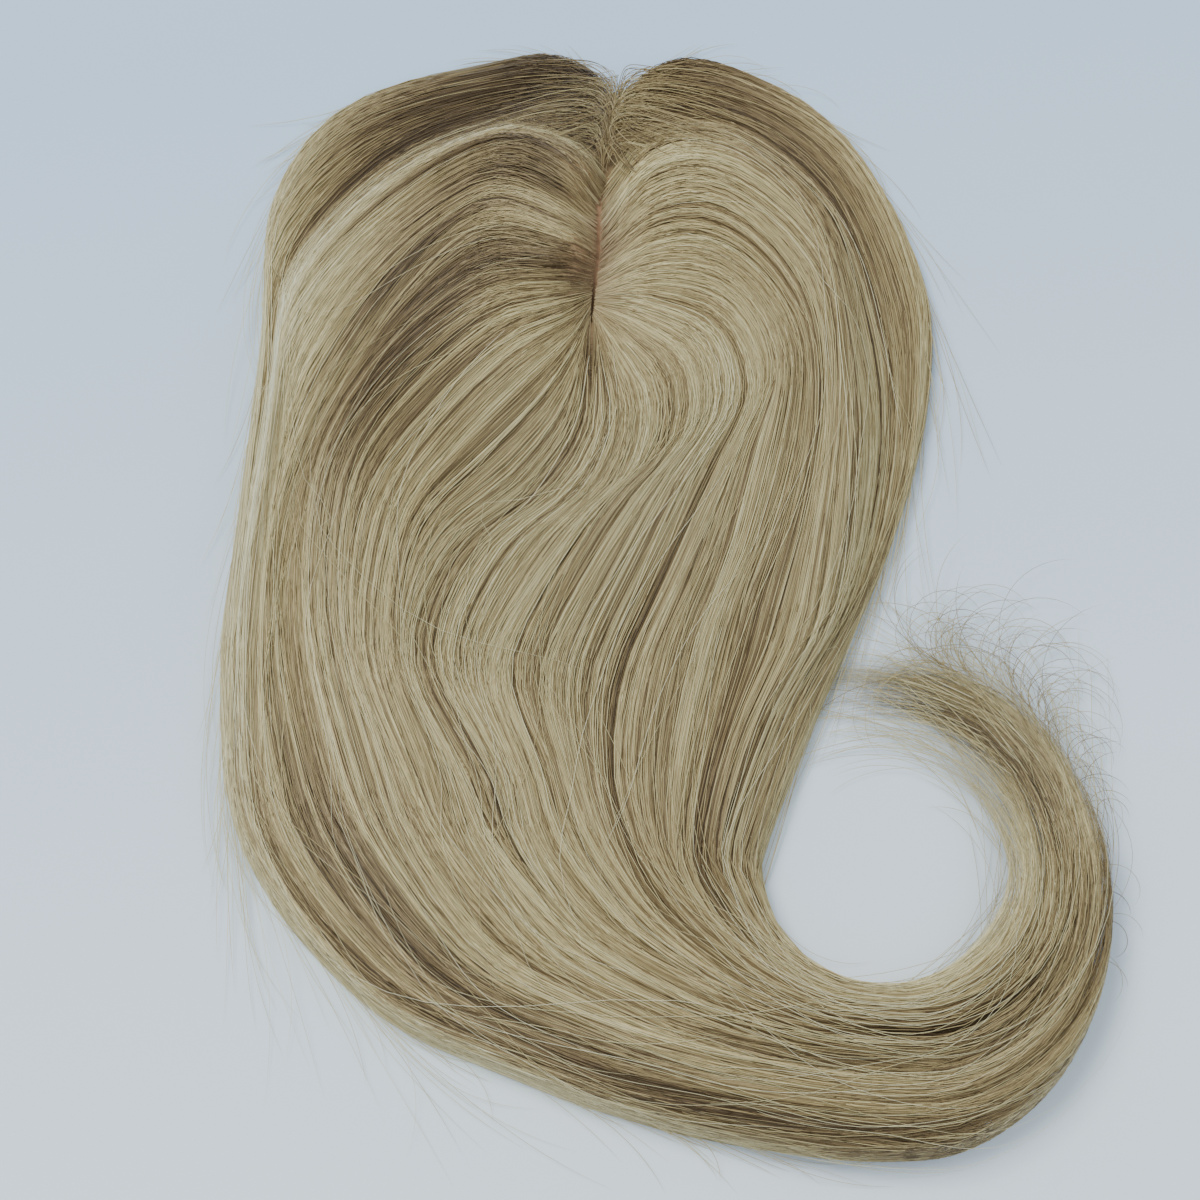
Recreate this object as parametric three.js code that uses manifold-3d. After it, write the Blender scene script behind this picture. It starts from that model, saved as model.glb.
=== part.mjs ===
// A long hair topper lying on a table. A domed cap with four snap clips under it carries hair that is
// parted in the middle, falls to both sides in waves and runs together into one tail, which curls
// round into a loop. Millimetres, +Z up, the cap's front towards +Y.

import * as THREE from 'three';
import { mergeVertices } from 'three/addons/utils/BufferGeometryUtils.js';
import Module from 'manifold-3d';

const wasm = await Module();
wasm.setup();

// Driving dimensions of the cap and its clips
const capWidth = 130;
const capLength = 140;
const capHeight = 30;
const capWall = 1.2;
const clipLength = 30;
const clipWidth = 9;
const clipThickness = 1.6;
const clipTeeth = 7;

// Driving dimensions of the hair
const sideReach = 15; // how far the hair stands out past the side of the cap
const frontReach = 10; // and past its front
const hairDepth = 13; // thickness of the hair where it lies on the table
const hairLength = 457; // longest strands, along the hair
const rootDepth = 2; // hair over the cap at the parting
const loopRadius = 28; // open space inside the curl of the tail
const tailWidth = 38; // width of the tail at the bottom of the curl
const tipLength = 60; // the stretch over which a lock thins out to its end
const lockCrown = 1.6; // how far a lock stands up between the grooves beside it

// Clearances between pieces that lie on each other
const lockGap = 0.3;
const capGap = 0.6;
const clipGap = 0.3;

// How finely the faceted forms are cut
const stationsPerRow = 2;
const cellsAcross = 5;
const capSides = 48;
const capRings = 8;

const halfSpread = capWidth / 2 + sideReach;
const halfReach = capLength / 2 + frontReach;

// Hair lines run from the parting to the tail. Each row holds a point of nine of them, from the left
// of the front edge, round the crown, to the right of it: shares of halfSpread and of halfReach.
// deep is the thickness of the hair there, a share of hairDepth.
const bodyRows = [
  { row: 'root', deep: 0.15, points: [[0.07, 0.9], [0.02, 0.57], [-0.01, 0.25], [-0.02, 0.01],
    [-0.01, -0.14], [0.02, -0.07], [0.03, 0.08], [0.03, 0.44], [0.09, 0.9]] },
  { row: 'lift', deep: 0.46, points: [[-0.02, 1], [-0.07, 0.62], [-0.11, 0.28], [-0.12, -0.02],
    [-0.01, -0.32], [0.17, -0.1], [0.2, 0.14], [0.18, 0.58], [0.24, 1.02]] },
  { row: 'arch', deep: 0.7, points: [[-0.32, 1.03], [-0.34, 0.61], [-0.36, 0.26], [-0.36, -0.1],
    [-0.03, -0.53], [0.37, -0.19], [0.45, 0.08], [0.47, 0.55], [0.53, 0.99]] },
  { row: 'temple', deep: 0.85, points: [[-0.83, 0.87], [-0.68, 0.44], [-0.66, 0.01], [-0.6, -0.27],
    [-0.15, -0.71], [0.45, -0.4], [0.63, -0.14], [0.74, 0.27], [0.85, 0.73]] },
  { row: 'ear', deep: 0.92, points: [[-1.07, 0.5], [-0.97, 0.1], [-0.89, -0.31], [-0.77, -0.5],
    [-0.33, -0.84], [0.33, -0.64], [0.64, -0.46], [0.83, -0.19], [1.08, 0.2]] },
  { row: 'nape', deep: 1, points: [[-1.08, -0.02], [-1.02, -0.33], [-0.98, -0.64], [-0.83, -0.78],
    [-0.41, -1.01], [0.17, -0.92], [0.55, -0.77], [0.82, -0.62], [1.07, -0.28]] },
  { row: 'shoulder', deep: 1, points: [[-1.12, -0.62], [-1.06, -0.8], [-1, -1], [-0.82, -1.13],
    [-0.41, -1.23], [0.04, -1.21], [0.4, -1.08], [0.73, -1.03], [0.93, -0.76]] },
  { row: 'waist', deep: 1, points: [[-1.15, -1.23], [-1.07, -1.29], [-0.96, -1.39], [-0.71, -1.5],
    [-0.26, -1.54], [0.02, -1.52], [0.3, -1.45], [0.53, -1.38], [0.71, -1.26]] },
];

// The curl turns round its centre, given in the same shares, and is a little taller than wide.
// turn is in degrees, inner a share of loopRadius and wide a share of tailWidth. even says how far
// the lines have spread out evenly, and first is the outermost line that the edge still follows.
const curlCentre = { across: 0.855, along: -1.77 };
const curlTall = 1.1;
const gathered = [1, 0.965, 0.87, 0.71, 0.47, 0.28, 0.15, 0.065, 0];
const curlRows = [
  { turn: 180, inner: 1.0, wide: 3.26, even: 0, first: 0, deep: 1 },
  { turn: 195, inner: 1.03, wide: 2.56, even: 0, first: 0, deep: 1 },
  { turn: 210, inner: 1.06, wide: 1.8, even: 0.1, first: 0, deep: 1.08 },
  { turn: 225, inner: 1.07, wide: 1.36, even: 0.3, first: 0, deep: 1.15 },
  { turn: 245, inner: 1.05, wide: 1.08, even: 0.6, first: 0, deep: 1.15 },
  { turn: 265, inner: 1.03, wide: 1.0, even: 0.8, first: 0.2, deep: 1.15 },
  { turn: 285, inner: 1.03, wide: 0.97, even: 1, first: 0.7, deep: 1.08 },
  { turn: 305, inner: 1.03, wide: 0.9, even: 1, first: 1.1, deep: 1.08 },
  { turn: 325, inner: 1.02, wide: 0.81, even: 1, first: 1.5, deep: 1 },
  { turn: 345, inner: 1.0, wide: 0.72, even: 1, first: 1.9, deep: 0.92 },
  { turn: 365, inner: 1.0, wide: 0.63, even: 1, first: 2.2, deep: 0.77 },
  { turn: 390, inner: 1.0, wide: 0.55, even: 1, first: 2.5, deep: 0.62 },
  { turn: 415, inner: 1.01, wide: 0.45, even: 1, first: 2.8, deep: 0.46 },
  { turn: 440, inner: 1.03, wide: 0.35, even: 1, first: 3.1, deep: 0.3 },
];

// Long ridges and grooves in the hair. at and spread count the nine lines, lift is a share of
// hairDepth, and from and to are the rows between which the fold shows.
const folds = [
  { at: 0.65, spread: 0.35, lift: -0.35, from: 0.5, to: 4.5 },
  { at: 1.25, spread: 0.4, lift: 0.25, from: 1, to: 7 },
  { at: 2.45, spread: 0.4, lift: -0.28, from: 1.5, to: 7 },
  { at: 3.2, spread: 0.5, lift: 0.15, from: 2, to: 8 },
  { at: 5.1, spread: 0.35, lift: -0.15, from: 1.5, to: 6 },
  { at: 6.7, spread: 0.45, lift: 0.15, from: 1, to: 7 },
  { at: 7.6, spread: 0.55, lift: -0.3, from: 1.5, to: 6 },
];

// Each lock takes the hair between two of these places on the nine lines.
const locks = [
  { name: 'lock_front_left', from: 0, to: 0.68 },
  { name: 'lock_temple_left', from: 0.68, to: 1.68 },
  { name: 'lock_side_left', from: 1.68, to: 2.4 },
  { name: 'lock_back_left', from: 2.4, to: 3.36 },
  { name: 'lock_crown', from: 3.36, to: 4.56 },
  { name: 'lock_back_right', from: 4.56, to: 5.6 },
  { name: 'lock_side_right', from: 5.6, to: 6.5 },
  { name: 'lock_temple_right', from: 6.5, to: 7.3 },
  { name: 'lock_front_right', from: 7.3, to: 8 },
];

// Clips sit this share of the way from the cap's centre to its rim, at these angles round it.
const clipPlace = 0.72;
const clips = [
  { name: 'clip_right', angle: 0 },
  { name: 'clip_front', angle: 90 },
  { name: 'clip_left', angle: 180 },
  { name: 'clip_back', angle: 270 },
];

// Shapes of the hair's cross-section
const drapeSpread = 1.5; // the hair meets the table at this many times the cap's radius
const edgeShare = 0.15; // height left at the outer edge of the hair
const edgeSharpness = 5;
const tipShare = 0.35; // depth and width left at the end of a lock

const hairMaterial = new THREE.MeshStandardMaterial({ color: 0xa1977d, roughness: 0.5, metalness: 0 });
const capMaterial = new THREE.MeshStandardMaterial({ color: 0xa88467, roughness: 0.85, metalness: 0 });
const clipMaterial = new THREE.MeshStandardMaterial({ color: 0x3b3029, roughness: 0.4, metalness: 0.8 });

const lastGuide = gathered.length - 1;
const rows = [...bodyRows.map(bodyPoints), ...curlRows.map(curlPoints)];
const lastRow = rows.length - 1;
const rowCurves = rows.map(smoothCurve);

function smoothCurve(points) {
  return new THREE.CatmullRomCurve3(points, false, 'catmullrom', 0.5);
}

function bodyPoints({ deep, points }) {
  return points.map(([across, along]) => (
    new THREE.Vector3(across * halfSpread, along * halfReach, deep * hairDepth)
  ));
}

function curlPoints({ turn, inner, wide, even, first, deep }) {
  const angle = THREE.MathUtils.degToRad(turn);
  return gathered.map((share, guide) => {
    const spreadOut = (lastGuide - guide) / (lastGuide - first);
    const place = THREE.MathUtils.lerp(share, spreadOut, even);
    const radius = inner * loopRadius + wide * tailWidth * place;
    return new THREE.Vector3(
      curlCentre.across * halfSpread + radius * Math.cos(angle),
      curlCentre.along * halfReach + curlTall * radius * Math.sin(angle),
      deep * hairDepth,
    );
  });
}

// The line of hair at any place on the nine lines: x and y on the table, z the hair's thickness.
function hairLine(guide) {
  return smoothCurve(rowCurves.map((curve) => curve.getPoint(guide / lastGuide)));
}

function capTop(x, y) {
  const out = (2 * x / capWidth) ** 2 + (2 * y / capLength) ** 2;
  return capHeight * Math.max(0, 1 - out);
}

// What the hair lies on: the cap itself at the parting, then a drape from the cap to the table.
function underHair(x, y, station) {
  const out = ((2 * x / capWidth) ** 2 + (2 * y / capLength) ** 2) / drapeSpread ** 2;
  const drape = capHeight * Math.max(0, 1 - out) ** 2;
  return THREE.MathUtils.lerp(capTop(x, y), drape, THREE.MathUtils.smoothstep(station, 0, 2));
}

function foldHeight(guide, station) {
  return folds.reduce((sum, { at, spread, lift, from, to }) => {
    const along = THREE.MathUtils.smoothstep(station, from - 1, from)
      * (1 - THREE.MathUtils.smoothstep(station, to, to + 2));
    return sum + lift * hairDepth * along * Math.exp(-(((guide - at) / spread) ** 2));
  }, 0);
}

function hairTop(point, guide, station, crown) {
  const side = Math.abs(2 * guide / lastGuide - 1);
  const edge = edgeShare + (1 - edgeShare) * Math.sqrt(1 - side ** edgeSharpness);
  const above = Math.max(rootDepth, point.z + foldHeight(guide, station) + crown);
  return (underHair(point.x, point.y, station) + above) * edge;
}

// Arc length along a hair line at each station. Neighbouring locks share their stations, so the
// walls between them follow the same chords.
function lengthsAlong(guide) {
  let length = 0;
  const points = hairLine(guide).getPoints(lastRow * stationsPerRow).map((point, index) => (
    new THREE.Vector3(point.x, point.y, hairTop(point, guide, index / stationsPerRow, 0))
  ));
  return points.map((point, index) => {
    if (index > 0) length += point.distanceTo(points[index - 1]);
    return length;
  });
}

// A lock's stations, up to where its middle line has used up the hair's length, and the length
// of hair left at each.
function lockStations({ from, to }) {
  const lengths = lengthsAlong((from + to) / 2).filter((length, index) => index < 3 || length < hairLength);
  const end = lengths[lengths.length - 1];
  return lengths.map((length, index) => ({ station: index / stationsPerRow, left: end - length }));
}

// One lock: a crowned top over a flat underside, with the same number of points at every station.
function lockGeometry(lock) {
  const middle = (lock.from + lock.to) / 2;
  const halfWide = (lock.to - lock.from) / 2;
  const steps = Array.from({ length: cellsAcross + 1 }, (unused, cell) => 2 * cell / cellsAcross - 1);
  const sections = lockStations(lock).map(({ station, left }) => {
    const tip = tipShare + (1 - tipShare) * Math.min(1, Math.sqrt(left / tipLength));
    const top = steps.map((step) => {
      const guide = middle + step * halfWide * tip;
      const point = hairLine(guide).getPoint(station / lastRow);
      const crown = lockCrown * (0.5 - step ** 2);
      return new THREE.Vector3(point.x, point.y, hairTop(point, guide, station, crown) * tip);
    });
    drawIn(top[0], top[1]);
    drawIn(top[cellsAcross], top[cellsAcross - 1]);
    return top;
  });
  return skin(sections);
}

// Moves a lock's edge half the gap towards its own middle, level with the table.
function drawIn(edge, inside) {
  const step = inside.clone().sub(edge).setZ(0).setLength(lockGap / 2);
  edge.add(step);
}

// Closes sections of top points into one body that stands on the table.
function skin(sections) {
  const vertices = [];
  const triangles = [];
  const across = sections[0].length;
  for (const top of sections) {
    for (const point of top) vertices.push(point.x, point.y, point.z);
    vertices.push(top[0].x, top[0].y, 0);
    vertices.push(top[across - 1].x, top[across - 1].y, 0);
  }
  const ring = across + 2;
  const quad = (a, b, c, d) => triangles.push(a, b, c, a, c, d);
  for (let section = 0; section < sections.length - 1; section += 1) {
    const here = section * ring;
    const next = here + ring;
    for (let cell = 0; cell < across - 1; cell += 1) {
      quad(here + cell, next + cell, next + cell + 1, here + cell + 1);
    }
    quad(here + across, next + across, next, here);
    quad(here + across - 1, next + across - 1, next + across + 1, here + across + 1);
    quad(here + across + 1, next + across + 1, next + across, here + across);
  }
  const last = (sections.length - 1) * ring;
  for (let cell = 0; cell < across - 1; cell += 1) {
    triangles.push(across, cell, cell + 1);
    triangles.push(last + across, last + cell + 1, last + cell);
  }
  triangles.push(across, across - 1, across + 1);
  triangles.push(last + across, last + across + 1, last + across - 1);
  const geometry = new THREE.BufferGeometry();
  geometry.setAttribute('position', new THREE.Float32BufferAttribute(vertices, 3));
  geometry.setIndex(triangles);
  return geometry;
}

// A dome that falls off as the square of the way out, spun from its profile and stretched to an oval.
function domeGeometry(width, length, profile) {
  const geometry = new THREE.LatheGeometry(profile, capSides);
  geometry.rotateX(Math.PI / 2);
  geometry.scale(width / 2, length / 2, 1);
  return geometry;
}

function domeProfile(outside, height, ringCount) {
  return Array.from({ length: ringCount + 1 }, (unused, ring) => {
    const out = ring / ringCount;
    return new THREE.Vector2(outside * out, height * (1 - out ** 2));
  });
}

function capGeometry() {
  const inside = 1 - 2 * capWall / capWidth;
  const inner = domeProfile(inside, capHeight - capWall, capRings);
  const outer = domeProfile(1, capHeight, capRings).reverse();
  return domeGeometry(capWidth, capLength, [...inner, ...outer]);
}

// The room that the cap takes up in the hair, down past the table.
function capRoomGeometry() {
  const below = new THREE.Vector2(1, -capHeight);
  const centre = new THREE.Vector2(0, -capHeight);
  const outer = domeProfile(1, capHeight + capGap, capRings).reverse();
  return domeGeometry(capWidth + 2 * capGap, capLength + 2 * capGap, [centre, below, ...outer]);
}

function toSolid(geometry) {
  const bare = geometry.clone();
  bare.deleteAttribute('normal');
  bare.deleteAttribute('uv');
  const merged = mergeVertices(bare);
  return new wasm.Manifold(new wasm.Mesh({
    numProp: 3,
    vertProperties: new Float32Array(merged.attributes.position.array),
    triVerts: new Uint32Array(merged.index.array),
  }));
}

function fromSolid(solid) {
  const mesh = solid.getMesh();
  const geometry = new THREE.BufferGeometry();
  geometry.setAttribute('position', new THREE.BufferAttribute(new Float32Array(mesh.vertProperties), 3));
  geometry.setIndex(new THREE.BufferAttribute(new Uint32Array(mesh.triVerts), 1));
  geometry.computeVertexNormals();
  return geometry;
}

// A snap clip, closed: a plain bar with a comb of short teeth along one side.
function clipGeometry() {
  const pitch = clipLength / (2 * clipTeeth - 1);
  const back = clipWidth / 2;
  const shape = new THREE.Shape();
  shape.moveTo(-clipLength / 2, back);
  for (let tooth = 0; tooth < clipTeeth; tooth += 1) {
    const left = -clipLength / 2 + 2 * tooth * pitch;
    if (tooth > 0) shape.lineTo(left, 0);
    shape.lineTo(left, -back);
    shape.lineTo(left + pitch, -back);
    if (tooth < clipTeeth - 1) shape.lineTo(left + pitch, 0);
  }
  shape.lineTo(clipLength / 2, back);
  return new THREE.ExtrudeGeometry(shape, { depth: clipThickness, bevelEnabled: false });
}

// Turns and places a clip against the inside of the cap, its comb towards the rim. A flat clip
// under a curved cap stays clear of it by the cap's rise over the clip's length.
function placeClip(mesh, angle) {
  const halfWidth = capWidth / 2 - capWall;
  const halfLength = capLength / 2 - capWall;
  const height = capHeight - capWall;
  const round = THREE.MathUtils.degToRad(angle);
  const x = clipPlace * halfWidth * Math.cos(round);
  const y = clipPlace * halfLength * Math.sin(round);
  const normal = new THREE.Vector3(2 * height * x / halfWidth ** 2, 2 * height * y / halfLength ** 2, 1);
  normal.normalize();
  const along = new THREE.Vector3(-Math.sin(round), Math.cos(round), 0);
  const comb = new THREE.Vector3().crossVectors(normal, along);
  const smaller = Math.min(halfWidth, halfLength);
  const rise = height * ((clipLength / 2) ** 2 + (clipWidth / 2) ** 2) / smaller ** 2;
  const down = rise + clipGap + clipThickness;
  mesh.quaternion.setFromRotationMatrix(new THREE.Matrix4().makeBasis(along, comb, normal));
  mesh.position.set(x, y, height * (1 - clipPlace ** 2)).addScaledVector(normal, -down);
}

function named(name, geometry, material) {
  const mesh = new THREE.Mesh(geometry, material);
  mesh.name = name;
  return mesh;
}

function buildTopper() {
  const topper = new THREE.Group();
  topper.add(named('base_cap', capGeometry(), capMaterial));
  for (const { name, angle } of clips) {
    const clip = named(name, clipGeometry(), clipMaterial);
    placeClip(clip, angle);
    topper.add(clip);
  }
  const capRoom = toSolid(capRoomGeometry());
  for (const lock of locks) {
    const solid = toSolid(lockGeometry(lock)).subtract(capRoom);
    topper.add(named(lock.name, fromSolid(solid), hairMaterial));
  }
  return topper;
}

// The origin is on the table, under the middle of the whole piece.
function stand(group) {
  group.updateMatrixWorld(true);
  const box = new THREE.Box3().setFromObject(group, true);
  const centre = box.getCenter(new THREE.Vector3());
  group.position.set(-centre.x, -centre.y, -box.min.z);
  return group;
}

export default stand(buildTopper());
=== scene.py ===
"""A long ash-blonde hair topper lying on pale paper, parted in the middle, its tail curled round."""
import math

import bpy
import numpy as np
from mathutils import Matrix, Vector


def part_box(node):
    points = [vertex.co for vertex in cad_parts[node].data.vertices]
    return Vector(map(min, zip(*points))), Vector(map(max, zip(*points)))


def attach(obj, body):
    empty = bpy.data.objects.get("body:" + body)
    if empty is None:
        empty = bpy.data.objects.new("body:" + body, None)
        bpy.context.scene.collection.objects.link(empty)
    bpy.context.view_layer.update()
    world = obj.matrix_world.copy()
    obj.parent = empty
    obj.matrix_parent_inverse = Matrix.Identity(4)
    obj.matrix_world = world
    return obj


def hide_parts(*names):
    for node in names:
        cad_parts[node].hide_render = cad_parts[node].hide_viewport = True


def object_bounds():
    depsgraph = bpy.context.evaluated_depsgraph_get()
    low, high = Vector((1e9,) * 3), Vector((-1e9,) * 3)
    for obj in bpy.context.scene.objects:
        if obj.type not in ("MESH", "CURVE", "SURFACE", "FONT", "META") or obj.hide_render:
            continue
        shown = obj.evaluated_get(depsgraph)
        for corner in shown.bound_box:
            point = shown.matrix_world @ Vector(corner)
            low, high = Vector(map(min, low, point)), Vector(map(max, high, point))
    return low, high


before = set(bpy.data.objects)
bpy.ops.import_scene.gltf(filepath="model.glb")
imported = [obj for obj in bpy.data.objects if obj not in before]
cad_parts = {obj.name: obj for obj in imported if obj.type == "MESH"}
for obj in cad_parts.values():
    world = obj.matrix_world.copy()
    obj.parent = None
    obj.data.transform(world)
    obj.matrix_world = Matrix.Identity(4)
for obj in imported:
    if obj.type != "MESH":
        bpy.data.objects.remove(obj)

CAD_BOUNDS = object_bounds()
MM = 0.001
CAP_LOW, CAP_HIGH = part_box("base_cap")
CAP_CENTRE = np.array([(CAP_LOW[0] + CAP_HIGH[0]) / 2, (CAP_LOW[1] + CAP_HIGH[1]) / 2]) / MM

# The cap and the hair, in millimetres, as in the part
CAP_WIDTH = (CAP_HIGH[0] - CAP_LOW[0]) / MM
CAP_LENGTH = (CAP_HIGH[1] - CAP_LOW[1]) / MM
CAP_HEIGHT = (CAP_HIGH[2] - CAP_LOW[2]) / MM
HALF_SPREAD = CAP_WIDTH / 2 + 15
HALF_REACH = CAP_LENGTH / 2 + 10
HAIR_DEPTH = 13
HAIR_LENGTH = 457
ROOT_DEPTH = 2
LOOP_RADIUS = 28
TAIL_WIDTH = 38
DRAPE_SPREAD = 1.5
EDGE_SHARE = 0.15
EDGE_SHARPNESS = 5

# Nine hair lines from the parting to the tail, as shares of the half spread and the half reach,
# with the hair's thickness at each row as a share of the hair depth
BODY_ROWS = [
    ("root", 0.15, [(0.07, 0.9), (0.02, 0.57), (-0.01, 0.25), (-0.02, 0.01), (-0.01, -0.14),
                    (0.02, -0.07), (0.03, 0.08), (0.03, 0.44), (0.09, 0.9)]),
    ("lift", 0.46, [(-0.02, 1), (-0.07, 0.62), (-0.11, 0.28), (-0.12, -0.02), (-0.01, -0.32),
                    (0.17, -0.1), (0.2, 0.14), (0.18, 0.58), (0.24, 1.02)]),
    ("arch", 0.7, [(-0.32, 1.03), (-0.34, 0.61), (-0.36, 0.26), (-0.36, -0.1), (-0.03, -0.53),
                   (0.37, -0.19), (0.45, 0.08), (0.47, 0.55), (0.53, 0.99)]),
    ("temple", 0.85, [(-0.83, 0.87), (-0.68, 0.44), (-0.66, 0.01), (-0.6, -0.27), (-0.15, -0.71),
                      (0.45, -0.4), (0.63, -0.14), (0.74, 0.27), (0.85, 0.73)]),
    ("ear", 0.92, [(-1.07, 0.5), (-0.97, 0.1), (-0.89, -0.31), (-0.77, -0.5), (-0.33, -0.84),
                   (0.33, -0.64), (0.64, -0.46), (0.83, -0.19), (1.08, 0.2)]),
    ("nape", 1, [(-1.08, -0.02), (-1.02, -0.33), (-0.98, -0.64), (-0.83, -0.78), (-0.41, -1.01),
                 (0.17, -0.92), (0.55, -0.77), (0.82, -0.62), (1.07, -0.28)]),
    ("shoulder", 1, [(-1.12, -0.62), (-1.06, -0.8), (-1, -1), (-0.82, -1.13), (-0.41, -1.23),
                     (0.04, -1.21), (0.4, -1.08), (0.73, -1.03), (0.93, -0.76)]),
    ("waist", 1, [(-1.15, -1.23), (-1.07, -1.29), (-0.96, -1.39), (-0.71, -1.5), (-0.26, -1.54),
                  (0.02, -1.52), (0.3, -1.45), (0.53, -1.38), (0.71, -1.26)]),
]

# The curl's rows: turn in degrees, inner radius as a share of the loop radius, width as a share of
# the tail width, how evenly the lines lie, the outermost line at the edge, and the thickness
CURL_CENTRE = (0.855, -1.77)
CURL_TALL = 1.1
GATHERED = [1, 0.965, 0.87, 0.71, 0.47, 0.28, 0.15, 0.065, 0]
CURL_ROWS = [
    (180, 1.0, 3.26, 0, 0, 1),
    (195, 1.03, 2.56, 0, 0, 1),
    (210, 1.06, 1.8, 0.1, 0, 1.08),
    (225, 1.07, 1.36, 0.3, 0, 1.15),
    (245, 1.05, 1.08, 0.6, 0, 1.15),
    (265, 1.03, 1.0, 0.8, 0.2, 1.15),
    (285, 1.03, 0.97, 1, 0.7, 1.08),
    (305, 1.03, 0.9, 1, 1.1, 1.08),
    (325, 1.02, 0.81, 1, 1.5, 1),
    (345, 1.0, 0.72, 1, 1.9, 0.92),
    (365, 1.0, 0.63, 1, 2.2, 0.77),
    (390, 1.0, 0.55, 1, 2.5, 0.62),
    (415, 1.01, 0.45, 1, 2.8, 0.46),
    (440, 1.03, 0.35, 1, 3.1, 0.3),
    (465, 1.06, 0.34, 1, 3.1, 0.2),
    (490, 1.1, 0.36, 1, 3.1, 0.12),
]

# Ridges and grooves: place on the lines, spread, height as a share of the hair depth, first and last row
FOLDS = [
    (0.65, 0.35, -0.35, 0.5, 4.5),
    (1.25, 0.4, 0.25, 1, 7),
    (2.45, 0.4, -0.28, 1.5, 7),
    (3.2, 0.5, 0.15, 2, 8),
    (5.1, 0.35, -0.15, 1.5, 6),
    (6.7, 0.45, 0.15, 1, 7),
    (7.6, 0.55, -0.3, 1.5, 6),
    (1.15, 0.18, 0.14, 0.5, 5),
    (1.75, 0.25, -0.16, 0.5, 4),
    (6.85, 0.26, 0.16, 0.5, 4.5),
    (7.35, 0.25, -0.14, 0.5, 5),
]

# Locks, by their places on the lines
LOCKS = [
    ("lock_front_left", 0, 0.68),
    ("lock_temple_left", 0.68, 1.68),
    ("lock_side_left", 1.68, 2.4),
    ("lock_back_left", 2.4, 3.36),
    ("lock_crown", 3.36, 4.56),
    ("lock_back_right", 4.56, 5.6),
    ("lock_side_right", 5.6, 6.5),
    ("lock_temple_right", 6.5, 7.3),
    ("lock_front_right", 7.3, 8),
]

# The parting, from the front edge to the crown, as shares of the half spread and the half reach
PARTING = [(0.085, 0.96), (0.08, 0.9), (0.03, 0.5), (0.012, 0.25), (0.01, 0.08), (0.0, -0.02),
           (-0.01, -0.14)]
PARTING_LINE = sorted((along * HALF_REACH, across * HALF_SPREAD) for across, along in PARTING)

# How far forward, in millimetres, hair has swept from its root by the time that it lies on a guide
ROOT_SWEEP = [8, 14, 11, 4, 0, 1, 7, 13, 9]
ROOT_SETTLED = 28

# The scalp shows behind this place on the parting; in front of it the hair from both sides covers it.
# At the front edge the hair first rises forward, between the two sides.
PARTING_COVERED = (20, 34)
COVER = 2.2
FRONT_RISE = {"guides": 0.4, "length": 40, "across": 2.5, "forward": 3}
CROWN_TINT = (8, 17)  # where the brown roots show most, and how far on either side, along the parting

# The hair leaves its guides in broad sways: guide, spread, station, spread, and shift in guides
SWAYS = [
    (5.0, 1.9, 13.6, 2.2, 1.1),
    (4.3, 0.7, 6.6, 1.6, -0.22),
    (5.6, 0.7, 3.6, 1.3, -0.2),
    (6.4, 0.6, 6.8, 1.4, 0.2),
    (8.0, 1.3, 17.2, 1.6, -0.5),
]

# Painted shade in hollows and on the tail's shaded side, painted light on ridges and thin rims, with some of
# the hair's own darker and lighter patches: guide, spread, station, spread, and change of tone
SHADE_AND_TONE_PATCHES = [
    (0.55, 0.38, 1.8, 1.6, -0.46),  # painted shade in the hollow behind the front edge, on the left
    (0.15, 0.35, 1.2, 1.2, -0.36),  # and the front edge itself
    (0.8, 0.28, 3.5, 1.0, -0.2),  # and where the hollow runs out
    (0.7, 0.8, 4.6, 1.4, 0.34),  # the light hair down the left side
    (0.9, 0.9, 6.4, 2.0, 0.16),
    (0.2, 0.8, 10.0, 2.2, 0.2),
    (1.5, 0.4, 1.6, 1.3, -0.36),  # painted shade in the second hollow
    (1.1, 0.13, 2.1, 1.8, 0.18),  # painted light on the ridge in front of it
    (2.0, 0.3, 2.8, 0.9, -0.4),
    (2.6, 0.35, 2.0, 1.2, -0.2),  # painted shade in the third
    (3.0, 0.35, 3.2, 1.4, -0.34),
    (2.8, 0.7, 0.5, 0.7, -0.34),  # the roots left of the parting
    (2.4, 0.35, 5.8, 1.2, 0.2),
    (2.5, 0.7, 8.3, 1.2, -0.14),
    (7.55, 0.42, 2.0, 2.1, -0.3),  # painted shade on the flatter hair at the front, on the right
    (7.85, 0.35, 1.3, 1.0, -0.3),
    (7.1, 0.4, 2.8, 1.3, -0.22),
    (7.6, 0.4, 4.8, 1.5, -0.05),
    (4.05, 0.25, 0.8, 0.6, -0.25),  # behind the crown
    (5.0, 0.4, 3.0, 1.1, 0.16),  # painted light on the bend right of it
    (4.9, 1.2, 5.4, 1.6, 0.06),
    (6.2, 0.7, 8.6, 1.8, -0.24),
    (1.8, 0.8, 10.4, 1.8, -0.24),  # painted shade on the underside that shows along the tail
    (1.2, 0.8, 11.7, 1.4, -0.36),
    (0.9, 0.8, 13.4, 1.0, -0.2),
    (1.2, 1.1, 8.7, 1.3, -0.1),
    (4.6, 1.5, 12.6, 2.0, -0.16),  # the tail's brown middle
    (4.1, 0.4, 13.4, 0.8, 0.2),
    (5.6, 0.7, 14.9, 1.5, -0.28),
    (3.5, 0.5, 14.8, 1.2, -0.12),
    (1.8, 0.6, 14.0, 1.6, -0.3),  # painted shade on the tail's outer edge
    (2.3, 0.6, 17.3, 1.5, -0.26),
    (3.4, 0.5, 16.8, 1.0, -0.18),
    (8.0, 0.7, 15.4, 3.0, 0.4),  # painted light on the tail's pale inner rim
    (6.6, 1.4, 17.8, 1.8, 0.26),  # painted light on the thin inside of the tip
    (5.3, 1.0, 19.1, 1.5, -0.3),  # the brown middle of the tip
]

# Streaks in the hair's colour: width across in millimetres, and strength
STREAKS = [(14, 0.06), (4, 0.08), (1.0, 0.12)]

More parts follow.
